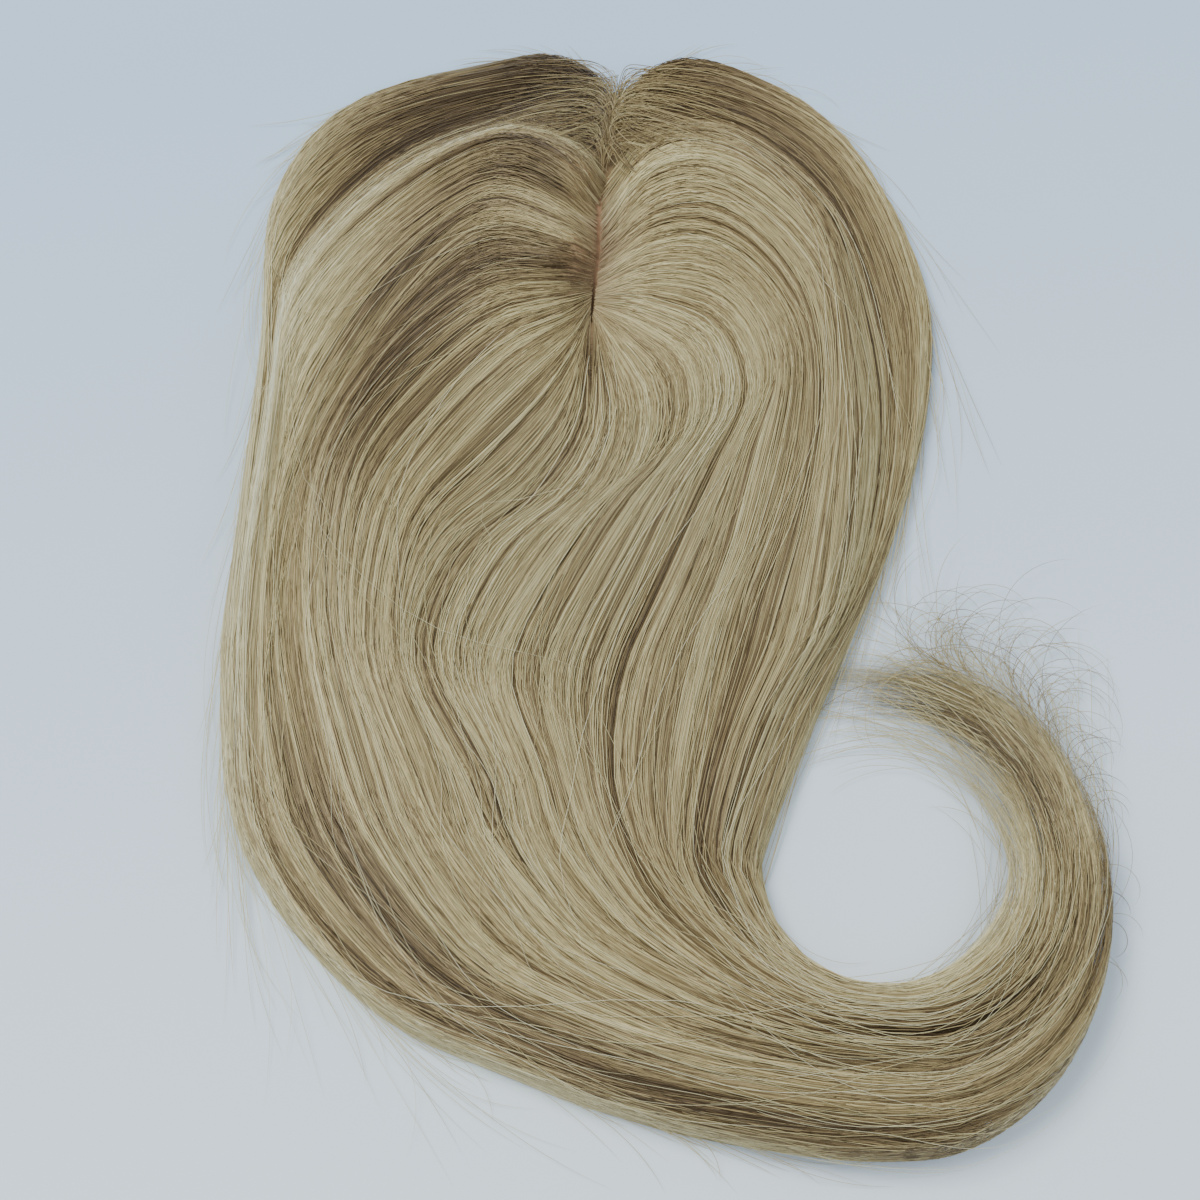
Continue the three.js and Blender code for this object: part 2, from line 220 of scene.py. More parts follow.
# Strands. A real hair is 0.07 mm thick: here one strand stands for a few that cling together.
STRAND_WIDTH = 0.24
LOOSE_WIDTH = 0.15
LOOSE_REACH = 8
STRAND_SIDES = 3
STRAND_POINTS = 37
STRAND_COUNT = 3150
STRAND_TONE_SPREAD = 0.13
CROSSING_SHARE = 0.07
TIP_FAN_START = 16.3
TIP_FAN_LENGTH = 4.8
OUTER_LENGTHS = (-0.04, 0.17)  # shares by which the outermost hair on the left differs in length
OUTER_GUIDES = (0.8, 2.4)  # up to where hair is the outermost, and from where it isn't
FINE_STEPS = 180
STRAND_SIZES = ([0.8, 1.0, 1.35], [0.4, 0.4, 0.2])  # thicknesses, and how many strands have each
SEED = 41

# Where the tail thins out, in stations, and how much earlier its inside starts and ends to, in guides
THINNING_START = 16.8
THINNING_END = 22.6
INNER_THINNING = 2.4
INNER_STARTS = (4.8, 6.5)
INNER_ENDS = (5.5, 7.5)
FULL_TIP = (4.6, 1.3)  # the guide whose strands reach furthest into the tip, and how far on either side
SIDE_SLIDE = (0.35, 1.1)  # where hair starts down the curl's outer side, and over how many guides
INNER_RIM = 7.85  # the guide along the inside of the loop


def linear(hex_colour):
    """An sRGB hex colour as linear red, green, blue and alpha."""
    channels = [int(hex_colour[i:i + 2], 16) / 255 for i in (1, 3, 5)]
    return [c / 12.92 if c <= 0.04045 else ((c + 0.055) / 1.055) ** 2.4 for c in channels] + [1.0]


# The hair's course

def body_points(depth, points):
    return [(across * HALF_SPREAD, along * HALF_REACH, depth * HAIR_DEPTH) for across, along in points]


def curl_points(turn, inner, wide, even, first, depth):
    last = len(GATHERED) - 1
    points = []
    for guide, share in enumerate(GATHERED):
        spread_out = (last - guide) / (last - first)
        radius = inner * LOOP_RADIUS + wide * TAIL_WIDTH * (share + (spread_out - share) * even)
        x = CURL_CENTRE[0] * HALF_SPREAD + radius * math.cos(math.radians(turn))
        y = CURL_CENTRE[1] * HALF_REACH + CURL_TALL * radius * math.sin(math.radians(turn))
        points.append((x, y, depth * HAIR_DEPTH))
    return points


def padded_sheet():
    """All rows of guide points, with one more on each side for the spline's ends."""
    rows = [body_points(depth, points) for name, depth, points in BODY_ROWS]
    rows += [curl_points(*row) for row in CURL_ROWS]
    sheet = np.array(rows)
    sheet = np.concatenate([2 * sheet[:1] - sheet[1:2], sheet, 2 * sheet[-1:] - sheet[-2:-1]])
    before = 2 * sheet[:, :1] - sheet[:, 1:2]
    after = 2 * sheet[:, -1:] - sheet[:, -2:-1]
    return np.concatenate([before, sheet, after], axis=1)


SHEET = padded_sheet()
LAST_ROW = SHEET.shape[0] - 3
LAST_GUIDE = SHEET.shape[1] - 3


def spline_weights(t):
    return np.stack([
        (-t + 2 * t ** 2 - t ** 3) / 2,
        (2 - 5 * t ** 2 + 3 * t ** 3) / 2,
        (t + 4 * t ** 2 - 3 * t ** 3) / 2,
        (-t ** 2 + t ** 3) / 2,
    ], -1)


def hair_flow(guide, station):
    """Plan position and thickness of the hair at places on the lines and along them."""
    guide, station = np.broadcast_arrays(np.asarray(guide, float), np.asarray(station, float))
    column = np.clip(np.floor(guide), 0, LAST_GUIDE - 1).astype(int)
    row = np.clip(np.floor(station), 0, LAST_ROW - 1).astype(int)
    across = spline_weights(guide - column)
    along = spline_weights(station - row)
    total = np.zeros(guide.shape + (3,))
    for i in range(4):
        for j in range(4):
            total += (along[..., i] * across[..., j])[..., None] * SHEET[row + i, column + j]
    return total


def smoothstep(value, low, high):
    t = np.clip((value - low) / (high - low), 0, 1)
    return t * t * (3 - 2 * t)


def cap_radius_squared(x, y):
    return (2 * x / CAP_WIDTH) ** 2 + (2 * y / CAP_LENGTH) ** 2


def cap_top(x, y):
    return CAP_HEIGHT * np.maximum(0, 1 - cap_radius_squared(x, y))


def hair_top(flow, guide, station):
    """Height of the hair's surface over the table."""
    x, y, thickness = flow[..., 0], flow[..., 1], flow[..., 2]
    drape = CAP_HEIGHT * np.maximum(0, 1 - cap_radius_squared(x, y) / DRAPE_SPREAD ** 2) ** 2
    settled = smoothstep(station, 0, 2)
    under = cap_top(x, y) * (1 - settled) + drape * settled
    for at, spread, lift, first, last in FOLDS:
        window = smoothstep(station, first - 1, first) * (1 - smoothstep(station, last, last + 2))
        thickness = thickness + lift * HAIR_DEPTH * window * np.exp(-((guide - at) / spread) ** 2)
    side = np.clip(np.abs(2 * guide / LAST_GUIDE - 1), 0, 1)
    edge = EDGE_SHARE + (1 - EDGE_SHARE) * np.sqrt(1 - side ** EDGE_SHARPNESS)
    return (under + np.maximum(ROOT_DEPTH, thickness)) * edge


def surface(guide, station):
    """Points on the hair's surface, in millimetres round the cap's centre."""
    flow = hair_flow(guide, station)
    return np.concatenate([flow[..., :2], hair_top(flow, guide, station)[..., None]], -1)


def length_tables():
    """Arc length along a fine set of lines, to space points evenly."""
    guides = np.linspace(0, LAST_GUIDE, 81)
    stations = np.linspace(0, LAST_ROW, 12 * LAST_ROW + 1)
    points = surface(guides[:, None], stations[None, :])
    steps = np.linalg.norm(np.diff(points, axis=1), axis=2)
    lengths = np.concatenate([np.zeros((len(guides), 1)), np.cumsum(steps, axis=1)], axis=1)
    return guides, stations, lengths


LINE_GUIDES, LINE_STATIONS, LINE_LENGTHS = length_tables()
EDGE_GUIDES = [first for turn, inner, wide, even, first, depth in CURL_ROWS]
EDGE_STATIONS = len(BODY_ROWS) + np.arange(len(CURL_ROWS))


def held_in(guide, station, inset=0.0):
    """Keeps hair inside the outline round the curl, where the outermost lines run out of it."""
    edge = np.interp(station, EDGE_STATIONS, EDGE_GUIDES) + inset * smoothstep(station, 10.5, 13)
    room = 0.01 + 0.5 * smoothstep(station, 11.5, 13.5)
    pressed = edge + room * np.exp(np.minimum(0, (guide - edge) / room - 1))
    return np.where(guide < edge + room, pressed, guide)


def slid_down(guide, station):
    """How far hair slides down the outer side of the curl, from 0 on top to 1 at its foot."""
    edge = np.interp(station, EDGE_STATIONS, EDGE_GUIDES)
    start, spread = SIDE_SLIDE
    return smoothstep(edge + start - guide, 0, spread) * smoothstep(station, 11, 13)


def line_table(guide):
    """Length along one line, at each of the fine stations."""
    place = float(np.interp(guide, LINE_GUIDES, np.arange(len(LINE_GUIDES))))
    low = min(int(place), len(LINE_GUIDES) - 2)
    return LINE_LENGTHS[low] + (LINE_LENGTHS[low + 1] - LINE_LENGTHS[low]) * (place - low)


def stations_at(guide, lengths):
    """The stations of points at given lengths along one line."""
    return np.interp(lengths, line_table(guide), LINE_STATIONS)


def to_world(points):
    """From millimetres round the cap's centre to metres in the frame."""
    moved = np.array(points, float)
    moved[..., :2] += CAP_CENTRE
    return moved * MM


# Building pieces

def add_mesh(name, vertices, edges, faces, attributes):
    mesh = bpy.data.meshes.new(name)
    mesh.from_pydata([tuple(v) for v in vertices], edges, faces)
    for key, values in attributes.items():
        layer = mesh.attributes.new(key, "FLOAT", "POINT")
        layer.data.foreach_set("value", np.asarray(values, np.float32).ravel())
    piece = bpy.data.objects.new(name, mesh)
    bpy.context.scene.collection.objects.link(piece)
    return piece


def add_node(tree, kind, settings=None, inputs=None):
    """Adds a node to a tree, with its settings, and its inputs as values or sockets to link."""
    node = tree.nodes.new(kind)
    for key, value in (settings or {}).items():
        setattr(node, key, value)
    for key, value in (inputs or {}).items():
        if isinstance(value, bpy.types.NodeSocket):
            tree.links.new(value, node.inputs[key])
        else:
            node.inputs[key].default_value = value
    return node


def stored_value(tree, name):
    return add_node(tree, "GeometryNodeInputNamedAttribute", {"data_type": "FLOAT"},
                    {"Name": name}).outputs["Attribute"]


def strand_tube_tree(material):
    """Turns polylines into thin tubes that follow their thickness attribute, with a bake map."""
    tree = bpy.data.node_groups.new("strand_tubes", "GeometryNodeTree")
    tree.interface.new_socket("Geometry", in_out="INPUT", socket_type="NodeSocketGeometry")
    width = tree.interface.new_socket("Strand Width", in_out="INPUT", socket_type="NodeSocketFloat")
    sides = tree.interface.new_socket("Sides", in_out="INPUT", socket_type="NodeSocketInt")
    tree.interface.new_socket("Geometry", in_out="OUTPUT", socket_type="NodeSocketGeometry")
    width.default_value = STRAND_WIDTH * MM
    sides.default_value = STRAND_SIDES
    source = add_node(tree, "NodeGroupInput")
    lines = add_node(tree, "GeometryNodeMeshToCurve", inputs={"Mesh": source.outputs["Geometry"]})
    thick = add_node(tree, "ShaderNodeMath", {"operation": "MULTIPLY"},
                     {0: source.outputs["Strand Width"], 1: stored_value(tree, "thickness")})
    radius = add_node(tree, "ShaderNodeMath", {"operation": "MULTIPLY"}, {0: thick.outputs[0], 1: 0.5})
    ring = add_node(tree, "GeometryNodeCurvePrimitiveCircle", {"mode": "RADIUS"},
                    {"Resolution": source.outputs["Sides"], "Radius": 1.0})
    index = add_node(tree, "GeometryNodeInputIndex")
    around = add_node(tree, "GeometryNodeStoreNamedAttribute", {"data_type": "FLOAT", "domain": "POINT"},
                      {"Geometry": ring.outputs["Curve"], "Name": "around", "Value": index.outputs[0]})
    tubes = add_node(tree, "GeometryNodeCurveToMesh", inputs={
        "Curve": lines.outputs["Curve"], "Profile Curve": around.outputs["Geometry"],
        "Scale": radius.outputs[0], "Fill Caps": True})
    smooth = add_node(tree, "GeometryNodeSetShadeSmooth", inputs={"Geometry": tubes.outputs["Mesh"]})
    across = add_node(tree, "ShaderNodeMath", {"operation": "MULTIPLY_ADD"}, {
        0: stored_value(tree, "around"), 1: stored_value(tree, "pitch"), 2: stored_value(tree, "column")})
    place = add_node(tree, "ShaderNodeCombineXYZ",
                     inputs={"X": across.outputs[0], "Y": stored_value(tree, "along")})
    mapped = add_node(tree, "GeometryNodeStoreNamedAttribute", {"data_type": "FLOAT2", "domain": "CORNER"},
                      {"Geometry": smooth.outputs["Geometry"], "Name": "OFBake", "Value": place.outputs[0]})
    real = add_node(tree, "GeometryNodeRealizeInstances", inputs={"Geometry": mapped.outputs["Geometry"]})
    painted = add_node(tree, "GeometryNodeSetMaterial",
                       inputs={"Geometry": real.outputs["Geometry"], "Material": material})
    add_node(tree, "NodeGroupOutput", inputs={"Geometry": painted.outputs["Geometry"]})
    return tree


def socket_id(tree, name):
    return next(item.identifier for item in tree.interface.items_tree
                if item.name == name and item.in_out == "INPUT")


def tubes_from(name, strands, tree, width):
    """One piece of closed tubes from a list of strands: points, tone, root shade and thickness."""
    count = len(strands)
    sizes = [len(strand["points"]) for strand in strands]
    starts = np.concatenate([[0], np.cumsum(sizes)])
    vertices = to_world(np.concatenate([strand["points"] for strand in strands]))
    edges = [(v, v + 1) for start, size in zip(starts, sizes) for v in range(start, start + size - 1)]
    attributes = {key: np.concatenate([strand[key] for strand in strands])
                  for key in ("tone", "root", "thickness")}
    attributes["along"] = np.concatenate([np.linspace(0.002, 0.998, size) for size in sizes])
    attributes["column"] = np.concatenate([np.full(size, (i + 0.1) / count) for i, size in enumerate(sizes)])
    attributes["pitch"] = np.full(len(vertices), 0.4 / count)
    source = add_mesh(name + "_lines", vertices, edges, [], attributes)
    modifier = source.modifiers.new("tubes", "NODES")
    modifier.node_group = tree
    modifier[socket_id(tree, "Strand Width")] = width * MM
    modifier[socket_id(tree, "Sides")] = STRAND_SIDES
    depsgraph = bpy.context.evaluated_depsgraph_get()
    mesh = bpy.data.meshes.new_from_object(source.evaluated_get(depsgraph), depsgraph=depsgraph)
    mesh.name = name
    bpy.data.objects.remove(source)
    piece = bpy.data.objects.new(name, mesh)
    bpy.context.scene.collection.objects.link(piece)
    return piece


# How hair lies beside its neighbours

def widths_across():
    """How wide each place on the lines is, on average over the body, summed from the left."""
    guides = np.linspace(0, LAST_GUIDE, 161)
    stations = np.linspace(1, 9, 33)
    points = hair_flow(guides[:, None], stations[None, :])[..., :2]
    steps = np.linalg.norm(np.diff(points, axis=0), axis=2)
    mean = np.sqrt((steps ** 2).mean(axis=1))
    return guides, np.concatenate([[0], np.cumsum(mean)])


WIDTH_GUIDES, WIDTH_SUMS = widths_across()
FULL_WIDTH = WIDTH_SUMS[-1]
MEAN_GUIDE_WIDTH = FULL_WIDTH / LAST_GUIDE
NARROWEST_GUIDE = 1.5
EDGE_CALM = 26


def directions(guide, station):
    """The hair's direction in plan, the direction square to it, and millimetres from guide to guide."""
    step = 0.04
    ahead = hair_flow(guide, np.minimum(station + step, LAST_ROW))[..., :2]
    behind = hair_flow(guide, np.maximum(station - step, 0))[..., :2]
    tangent = ahead - behind
    tangent /= np.maximum(np.linalg.norm(tangent, axis=-1, keepdims=True), 1e-6)
    square = np.stack([-tangent[..., 1], tangent[..., 0]], -1)
    beside = (hair_flow(guide + step, station) - hair_flow(guide - step, station))[..., :2]
    width = np.abs((beside * square).sum(-1)) / (2 * step)
    return tangent, square, np.maximum(width, NARROWEST_GUIDE)


def sway(guide, station):
    shift = 0
    for at, spread, row, reach, size in SWAYS:
        shift = shift + size * np.exp(-((guide - at) / spread) ** 2 - ((station - row) / reach) ** 2)
    return shift


def unswayed(guide, station):
    """The guide that hair started on, from where the sways have taken it."""
    own = guide
    for step in range(6):
        own = guide - sway(own, station)
    return own


def make_grooves(rng):
    """Thin grooves between wisps, in millimetres: place across, depth, half width, and where along it lies."""
    grooves = []
    for low, high, start, finish in ((0.8, 2.6, 12, 300), (5, 12, 230, 470)):
        place = rng.uniform(0, high)
        while place < FULL_WIDTH:
            first = rng.uniform(start, finish - 60)
            last = first + rng.uniform(20, 130)
            near_edge = min(1, min(place, FULL_WIDTH - place) / EDGE_CALM)
            depth = rng.uniform(0.15, 0.55 if start < 100 else 0.35) * near_edge
            grooves.append((place, depth, rng.uniform(0.35, 0.8), first, last))
            place += rng.uniform(low, high)
    return grooves


def make_streaks(rng):
    """For each width of streak, three random curves across the hair that take turns along it."""
    curves = []
    for width, strength in STREAKS:
        knots = np.arange(-width, FULL_WIDTH + 2 * width, width)
        curves.append((knots, [rng.uniform(-1, 1, len(knots)) for turn in range(3)], strength))
    return curves


def make_waves(rng):
    """Slow waves, shared by neighbouring strands: size, length across, length along and two phases."""
    return [(rng.uniform(0.3, 0.75), rng.uniform(9, 60), rng.uniform(90, 280),
             rng.uniform(0, 2 * math.pi), rng.uniform(0, 2 * math.pi)) for wave in range(9)]


FIELD_RNG = np.random.default_rng(SEED)
GROOVES = make_grooves(FIELD_RNG)
STREAK_CURVES = make_streaks(FIELD_RNG)
WAVES = make_waves(FIELD_RNG)


def shared_drift(place, length):
    """How far a strand lies off its line, in millimetres, together with its neighbours."""
    total = 0
    for size, across, along, first, second in WAVES:
        phase = 2 * math.pi * place / across + first
        total = total + size * np.sin(phase) * np.sin(2 * math.pi * length / along + second)
    return total * smoothstep(length, 8, 70)


def groove_shape(place, length, squeeze):
    """Height lost in the grooves, and how far hair beside one is pushed away from it."""
    drop = np.zeros(np.broadcast(place, length).shape)
    push = np.zeros_like(drop)
    for at, depth, half_width, first, last in GROOVES:
        off = (place - at) * squeeze / half_width
        window = smoothstep(length, first - 40, first) * (1 - smoothstep(length, last, last + 45))
        near = window * np.exp(-off ** 2)
        drop -= depth * near
        push += 0.8 * depth * off * near
    return drop, push


def tone_at(guide, station, place, length):
    """How light the hair is, from 0 to 1: painted shade and light from the patches, and the hair's own
    streaks.
    """
    total = 0.5
    for at, spread, row, reach, change in SHADE_AND_TONE_PATCHES:
        total = total + change * np.exp(-((guide - at) / spread) ** 2 - ((station - row) / reach) ** 2)
    for knots, curves, strength in STREAK_CURVES:
        for turn, values in enumerate(curves):
            weight = 0.5 + 0.5 * np.cos(2 * math.pi * (length / 330 + turn / len(curves)))
            total = total + strength * weight * np.interp(place, knots, values)
    return total


# Strands

def wander(rng, lengths, size, waves):
    """A smooth random offset along a strand, from a few long sine waves."""
    total = np.zeros_like(lengths)
    for wave in waves:
        phase = rng.uniform(0, 2 * math.pi)
        stretch = rng.uniform(0.75, 1.3)
        total += size * rng.normal(0, 1) * np.sin(2 * math.pi * lengths / (wave * stretch) + phase)
    return total / math.sqrt(len(waves))


def parting_x(y):
    """Where the parting runs, at a distance forward of the cap's centre."""
    return np.interp(y, [p[0] for p in PARTING_LINE], [p[1] for p in PARTING_LINE])


def root_shift(guide, lengths, sweep, beside, settled):
    """Moves a root onto the parting, further back than its guide, and eases the hair out from it."""
    root = hair_flow(guide, 0.0)
    y = root[..., 1] - np.interp(guide, range(len(ROOT_SWEEP)), ROOT_SWEEP) * sweep
    side = np.sign(guide - LAST_GUIDE / 2)
    x = parting_x(y) + side * (beside - COVER * smoothstep(y, *PARTING_COVERED))
    ease = 1 - smoothstep(lengths, 0, settled)
    from_edge = LAST_GUIDE / 2 - np.abs(guide - LAST_GUIDE / 2)
    rise = np.exp(-(from_edge / FRONT_RISE["guides"]) ** 2)
    rise = rise * np.sin(math.pi * np.clip(lengths / FRONT_RISE["length"], 0, 1)) ** 1.2
    shift_x = (x - root[..., 0]) * ease - side * FRONT_RISE["across"] * rise
    shift_y = (y - root[..., 1]) * ease + FRONT_RISE["forward"] * rise
    return shift_x, shift_y


def shift_over_cap(points, shift_x, shift_y):
    """Moves points across the cap, and up or down with its dome."""
    before = cap_top(points[..., 0], points[..., 1])
    points[..., 0] += shift_x
    points[..., 1] += shift_y
    points[..., 2] += cap_top(points[..., 0], points[..., 1]) - before


def even_bends(points, count, phase):
    """Picks points along a fine line, closer together where it bends, and never all in step."""
    steps = np.diff(points, axis=0)
    lengths = np.linalg.norm(steps, axis=1)
    heading = steps / np.maximum(lengths[:, None], 1e-6)
    turns = np.linalg.norm(np.diff(heading, axis=0), axis=1)
    bend = np.concatenate([[turns[0]], turns]) / np.maximum(lengths, 1e-6)
    bend = np.convolve(bend, np.ones(9) / 9, mode="same")
    weight = np.concatenate([[0], np.cumsum(lengths * (0.05 + np.sqrt(bend)))])
    picks = (np.arange(count) + np.concatenate([[0], np.full(count - 2, phase), [0]])) / (count - 1)
    return np.interp(picks * weight[-1], weight, np.arange(len(points)))


def taper(count, blunt):
    """Full thickness over most of a strand, fine at its root and pointed at its end."""
    t = np.linspace(0, 1, count)
    return np.maximum(np.minimum(1, 0.6 + 8 * t) * np.minimum(1, (1 - t) * blunt) ** 0.7, 0.08)


def strand(rng, place, crossing):
    """One long strand: its points in millimetres, its tone, how near the root it is and its thickness."""
    guide = float(np.interp(place, WIDTH_SUMS, WIDTH_GUIDES))
    thin = THINNING_START - INNER_THINNING * smoothstep(guide, *INNER_STARTS)
    end = THINNING_END - INNER_THINNING * smoothstep(guide, *INNER_ENDS)
    middle = math.exp(-((guide - FULL_TIP[0]) / FULL_TIP[1]) ** 2)
    tip = thin + (end - thin) * rng.random() ** (1.15 - 0.5 * middle)
    thinned = float(np.interp(tip, LINE_STATIONS, line_table(guide)))
    outer = 1 - smoothstep(guide, *OUTER_GUIDES)
    uneven = outer * rng.uniform(*OUTER_LENGTHS) - (1 - outer) * min(0.5, abs(rng.normal(0, 0.045)))
    length = min(thinned, HAIR_LENGTH * rng.uniform(0.98, 1.03) * (1 + uneven))
    lengths = np.linspace(0, length, FINE_STEPS)
    stations = stations_at(guide, lengths)
    tangent, square, width = directions(guide, stations)
    squeeze = width / MEAN_GUIDE_WIDTH
    drop, push = groove_shape(place, lengths, squeeze)
    side = shared_drift(place, lengths) + push + wander(rng, lengths, 0.22, (190, 90))
    if crossing:
        side += wander(rng, lengths, 2.4, (420, 260)) * smoothstep(lengths, 10, 120)
    lie = guide + side / width + sway(guide, stations)
    early = 1 - smoothstep(lengths, 15, 70)
    lie = np.clip(lie, 0.03 - 0.12 * early, LAST_GUIDE - 0.03 + 0.12 * early)
    slid = slid_down(lie, stations)
    lie = held_in(lie, stations)
    points = surface(lie, stations)
    shift_x, shift_y = root_shift(guide, lengths, rng.uniform(0.7, 1.2), rng.uniform(0.3, 1.7),
                                  ROOT_SETTLED * rng.uniform(0.85, 1.2))
    shift_over_cap(points, shift_x, shift_y)
    outward = 1 - 2 * (guide - 2) / 6
    fan = np.clip((stations - TIP_FAN_START) / TIP_FAN_LENGTH, 0, 1.4) ** 1.7
    splay = -(6.5 * outward + 0.8 + rng.normal(0, 2.2)) * fan
    points[:, :2] += square * splay[:, None]
    lift = rng.uniform(-0.22, 0.24) + (rng.uniform(0.2, 0.6) if crossing else 0)
    points[:, 2] += drop + lift * smoothstep(lengths, -8, 25) + wander(rng, lengths, 0.07, (130, 60))
    points[:, 2] *= (1 - 0.55 * np.clip(fan, 0, 1)) * (1 - 0.85 * slid)
    points[:, 2] = np.maximum(points[:, 2], 0.25)
    tone = tone_at(lie, stations, place, lengths) + rng.normal(0, STRAND_TONE_SPREAD)
    # painted shade: strands darker down in the grooves between wisps, where drop is below zero
    tone += 0.4 * drop + 0.1 * np.clip(fan, 0, 1) + (0.08 if crossing else 0)
    rooted = 1 - smoothstep(lengths, 0, rng.uniform(4, 11))
    rooted *= 0.3 + 0.7 * math.exp(-((points[0, 1] - CROWN_TINT[0]) / CROWN_TINT[1]) ** 2)
    picks = even_bends(points, STRAND_POINTS, rng.uniform(-0.45, 0.45))
    fine = np.arange(len(lengths))
    size = 0.8 if crossing else rng.choice(STRAND_SIZES[0], p=STRAND_SIZES[1])
    return {
        "points": np.stack([np.interp(picks, fine, points[:, k]) for k in range(3)], 1),
        "tone": np.interp(picks, fine, np.clip(tone, 0, 1)),
        "root": np.interp(picks, fine, rooted),
        "thickness": taper(STRAND_POINTS, 5) * size * np.interp(picks, fine, 1 - 0.4 * np.clip(fan, 0, 1)),
    }


def lock_strands(low, high, rng):
    first = np.interp(low, WIDTH_GUIDES, WIDTH_SUMS)
    last = np.interp(high, WIDTH_GUIDES, WIDTH_SUMS)
    count = round(STRAND_COUNT * (last - first) / FULL_WIDTH)
    places = first + (last - first) * (np.arange(count) + rng.uniform(0, 1, count)) / count
    return [strand(rng, place, rng.random() < CROSSING_SHARE) for place in places]


# Loose hairs

def curled_hair(rng, start, heading, length, bend, tone, end_height=0.6, count=18):
    """A loose hair that leaves a point in a direction and bends more and more."""
    t = np.linspace(0, 1, count)
    angle = heading + bend * t ** rng.uniform(1.0, 1.6)
    step = length / (count - 1)
    x = start[0] + np.concatenate([[0], np.cumsum(np.cos(angle[:-1]))]) * step
    y = start[1] + np.concatenate([[0], np.cumsum(np.sin(angle[:-1]))]) * step
    z = start[2] * (1 - t) ** 2 + end_height * t + rng.uniform(0, 1.6) * np.sin(math.pi * t)
    return {
        "points": np.stack([x, y, np.maximum(z, 0.2)], 1),
        "tone": np.full(count, tone),
        "root": np.zeros(count),
        "thickness": taper(count, 4) * rng.uniform(0.75, 1.25),
    }


def near_enough(hair):
    """Whether a loose hair stays within a few millimetres of the part's box."""
    placed = to_world(hair["points"])
    low = np.array(CAD_BOUNDS[0]) - LOOSE_REACH * MM
    high = np.array(CAD_BOUNDS[1]) + LOOSE_REACH * MM
    return bool(np.all(placed >= low) and np.all(placed <= high))


def leaving(guide, station):
    """A place on the hair, the heading of the hair there and the direction square to it."""
    tangent, square, width = directions(guide, station)
    return surface(guide, station), math.atan2(tangent[1], tangent[0]), square


def edge_hairs(rng, count, guide, stations, spread, lengths, tone, unruly):
    """Hairs that leave one edge of the hair at a small angle and bend back along it."""
    outward = -1 if guide < LAST_GUIDE / 2 else 1
    hairs = []
    for hair in range(count):
        station = rng.uniform(*stations)
        at = guide - outward * abs(rng.normal(0, 0.25))
        start, heading, square = leaving(at, station)
        angle = abs(rng.normal(0, spread))
        bend = rng.normal(-2.3 * angle, unruly)
        length = rng.uniform(*lengths)
        hairs.append(curled_hair(rng, start, heading + outward * angle, length, outward * bend,
                                 np.clip(rng.normal(tone, 0.1), 0, 1)))
    return hairs


def curl_hairs(rng, count):
    """Fine hooks of hair on the outside of the curl."""
    hairs = []
    for hair in range(count):
        station = rng.uniform(16.2, 20.6)
        guide = rng.uniform(2.2, 4.2)
        start, heading, square = leaving(guide, station)
        start[:2] -= square * 4 * np.clip((station - TIP_FAN_START) / TIP_FAN_LENGTH, 0, 1)
        heading -= rng.uniform(-0.1, 0.7)
        length = rng.uniform(15, 50)
        bend = rng.uniform(-4.6, -1.4) if rng.random() < 0.75 else rng.uniform(0.8, 3.5)
        tone = rng.normal(0.3 + 0.12 * smoothstep(station, 17.5, 20), 0.12)
        hairs.append(curled_hair(rng, start, heading, length, bend, np.clip(tone, 0, 1), end_height=2.5))
    return hairs


def tip_wisps(rng, count):
    """The tail's last hairs, which fan out and reach back to the hair they came from."""
    hairs = []
    for hair in range(count):
        station = rng.uniform(17.5, 20.5)
        guide = rng.uniform(2.4, 7.9)
        start, heading, square = leaving(guide, station)
        outward = 1 - 2 * (guide - 2) / 6
        heading += rng.normal(0, 0.16) - 0.35 * outward
        start[:2] -= square * rng.normal(3.2 * outward, 1.6)
        length = rng.uniform(18, 46)
        bend = rng.normal(0.35 - 0.5 * outward, 0.35)
        tone = np.clip(rng.normal(0.72, 0.12), 0, 1)
        hairs.append(curled_hair(rng, start, heading, length, bend, tone, end_height=1.2))
    return hairs


def loop_hairs(rng, count):
    """A few hairs that stray into the tail's loop."""
    hairs = []
    for hair in range(count):
        station = rng.uniform(9.5, 19)
        start, heading, square = leaving(INNER_RIM, station)
        hairs.append(curled_hair(rng, start, heading + rng.uniform(0.1, 0.6), rng.uniform(25, 70),
                                 rng.uniform(-0.6, 1.4), 0.62))
    return hairs


def stray_hairs(rng, count):
    """Light hairs that lie across the others."""
    hairs = []
    for hair in range(count):
        guide = rng.uniform(0.3, 7.7)
        station = rng.uniform(0.6, 12)
        points = 22
        lengths = np.linspace(0, rng.uniform(50, 160), points)
        start = float(np.interp(station, LINE_STATIONS, line_table(guide)))
        stations = stations_at(guide, start + lengths)
        tangent, square, width = directions(guide, stations)
        side = rng.normal(0, 0.12) * lengths + wander(rng, lengths, 1.2, (120, 60))
        lie = np.clip(guide + side / width, 0.05, LAST_GUIDE - 0.05)
        place = surface(lie, stations)
        place[:, 2] += 0.35 + 0.5 * np.sin(math.pi * lengths / lengths[-1])
        hairs.append({
            "points": place,
            "tone": np.full(points, np.clip(rng.normal(0.82, 0.12), 0, 1)),
            "root": np.zeros(points),
            "thickness": taper(points, 4) * rng.uniform(0.55, 0.95),
        })
    return hairs


